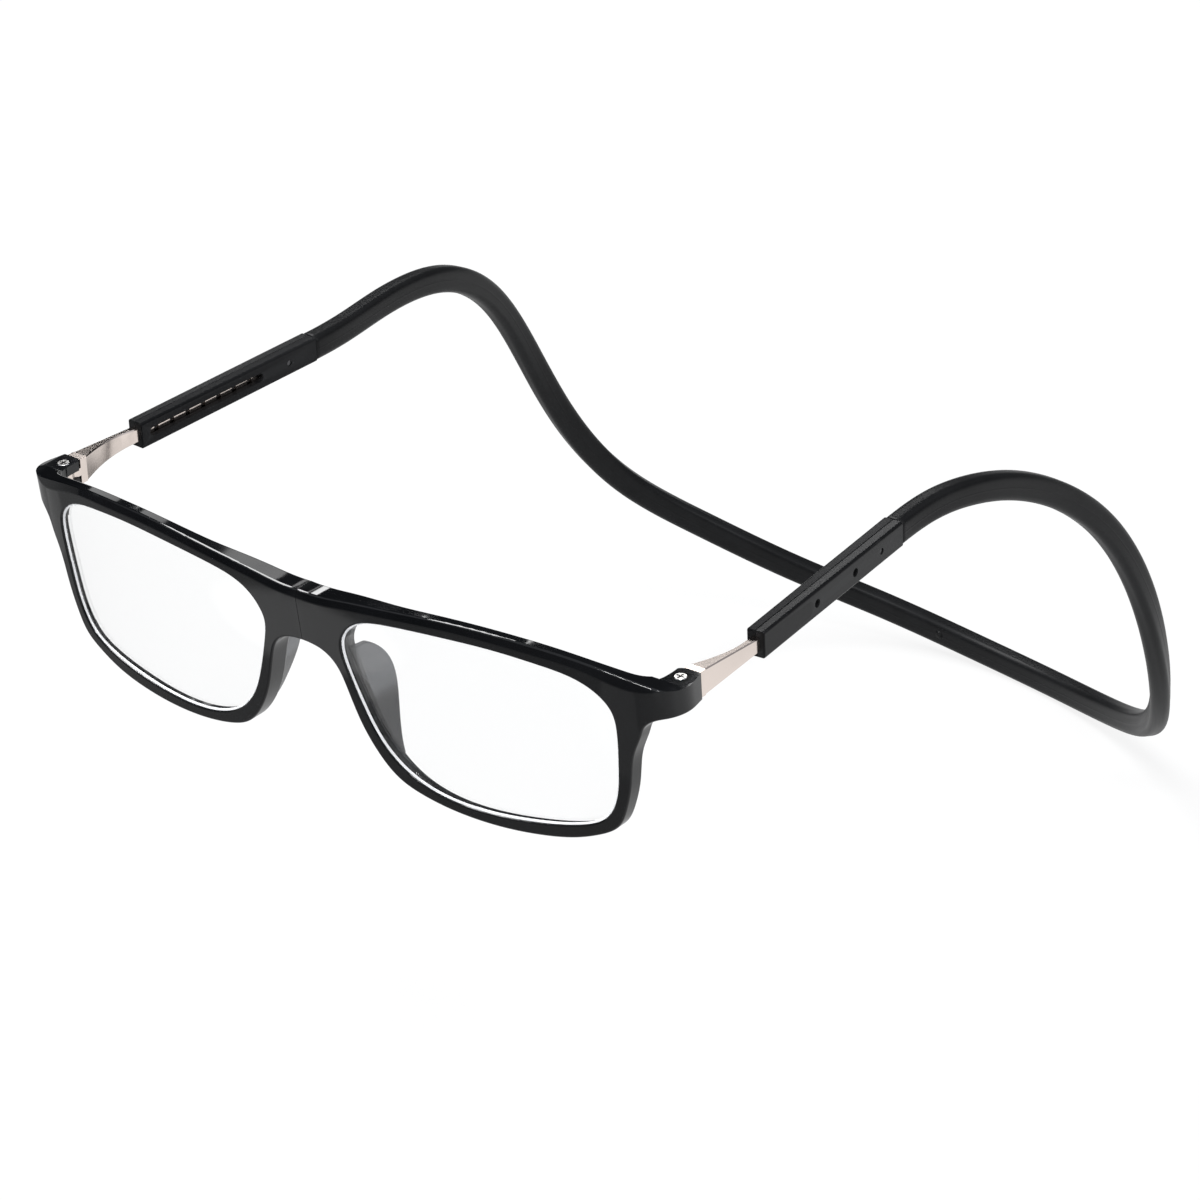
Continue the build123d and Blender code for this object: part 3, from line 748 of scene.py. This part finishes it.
def build_world():
    """White where the camera or clear pieces see it; elsewhere a studio that darkens to its horizon."""
    world = bpy.data.worlds.new("studio")
    bpy.context.scene.world = world
    world.use_nodes = True
    tree = world.node_tree
    tree.nodes.clear()
    where = node(tree, "ShaderNodeTexCoord").outputs["Generated"]
    parts = node(tree, "ShaderNodeSeparateXYZ")
    tree.links.new(where, parts.inputs[0])
    studio = node(tree, "ShaderNodeBackground")
    tree.links.new(ramp_through(tree, parts.outputs["Z"], SKY_COLOURS), studio.inputs["Color"])
    toward = node(tree, "ShaderNodeVectorMath", {"operation": "DOT_PRODUCT"})
    toward.inputs[1].default_value = WINDOW_WAY
    tree.links.new(where, toward.inputs[0])
    dimmed = spread_range(tree, toward.outputs["Value"], SKY_DIM_LEVELS, SKY_DIM_SPAN)
    tree.links.new(dimmed, studio.inputs["Strength"])
    white = node(tree, "ShaderNodeBackground")
    white.inputs["Color"].default_value = (1, 1, 1, 1)
    path = node(tree, "ShaderNodeLightPath").outputs
    seen = combined(tree, "MAXIMUM", path["Is Camera Ray"], path["Is Transmission Ray"])
    output = node(tree, "ShaderNodeOutputWorld")
    tree.links.new(mixed_shaders(tree, seen, studio.outputs[0], white.outputs[0]), output.inputs["Surface"])


def add_softbox(name, place, target, width, height, power):
    light = bpy.data.lights.new(name, "AREA")
    light.shape = "RECTANGLE"
    light.size = width
    light.size_y = height
    light.energy = power
    lamp = bpy.data.objects.new(name, light)
    lamp.location = place
    lamp.rotation_euler = (Vector(target) - Vector(place)).to_track_quat("-Z", "Y").to_euler()
    bpy.context.scene.collection.objects.link(lamp)


def build_lights():
    for name, place, width, height, power in SOFTBOXES:
        add_softbox(name, place, SCENE_MIDDLE, width, height, power)
    across = Vector((WINDOW_WAY.y, -WINDOW_WAY.x, 0))
    for index, (aside, up, width, height, brightness) in enumerate(WINDOW_PANES):
        place = WINDOW_WAY * WINDOW_REACH + across * aside + Vector((0, 0, up))
        power = brightness * math.pi * width * height
        add_softbox("window_pane_" + str(index), place, place - WINDOW_WAY, width, height, power)


def build_camera():
    turn = math.radians(VIEW_AZIMUTH)
    tilt = math.radians(VIEW_ELEVATION)
    roll = math.radians(VIEW_ROLL)
    side = Vector((math.cos(turn), math.sin(turn), 0))
    ahead = Vector((-math.sin(turn) * math.cos(tilt), math.cos(turn) * math.cos(tilt), -math.sin(tilt)))
    rise = side.cross(ahead)
    right = side * math.cos(roll) + rise * math.sin(roll)
    up = rise * math.cos(roll) - side * math.sin(roll)
    lens = bpy.data.cameras.new("camera")
    lens.lens = LENS_LENGTH
    lens.sensor_width = SENSOR_WIDTH
    lens.clip_start = CLIP_START
    camera = bpy.data.objects.new("camera", lens)
    turned = Matrix((right, up, -ahead)).transposed().to_4x4()
    camera.matrix_world = Matrix.Translation(CAMERA_PLACE) @ turned
    bpy.context.scene.collection.objects.link(camera)
    bpy.context.scene.camera = camera


def dress_solids():
    """Gives each carried-over solid its finished material."""
    looks = {"front_half": frame_gloss(), "lens": clear_lens(), "nose_pad": clear_pad()}
    for kind, values in METALS.items():
        looks[kind] = metal(*values)
    for kind, gloss_and_painted_shade in SLEEVE_GLOSS_AND_PAINTED_SHADE.items():
        looks[kind] = sleeve_plastic(kind + "_look", gloss_and_painted_shade)
    for name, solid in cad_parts.items():
        kind = name.rsplit("_", 1)[0]
        if kind in looks:
            solid.data.materials[0] = looks[kind]


build_camera()
build_world()
build_floor()
build_lights()
dress_solids()
build_lens_edges()
build_neck_band()
bpy.context.scene.view_settings.view_transform = "Standard"

bpy.context.view_layer.update()
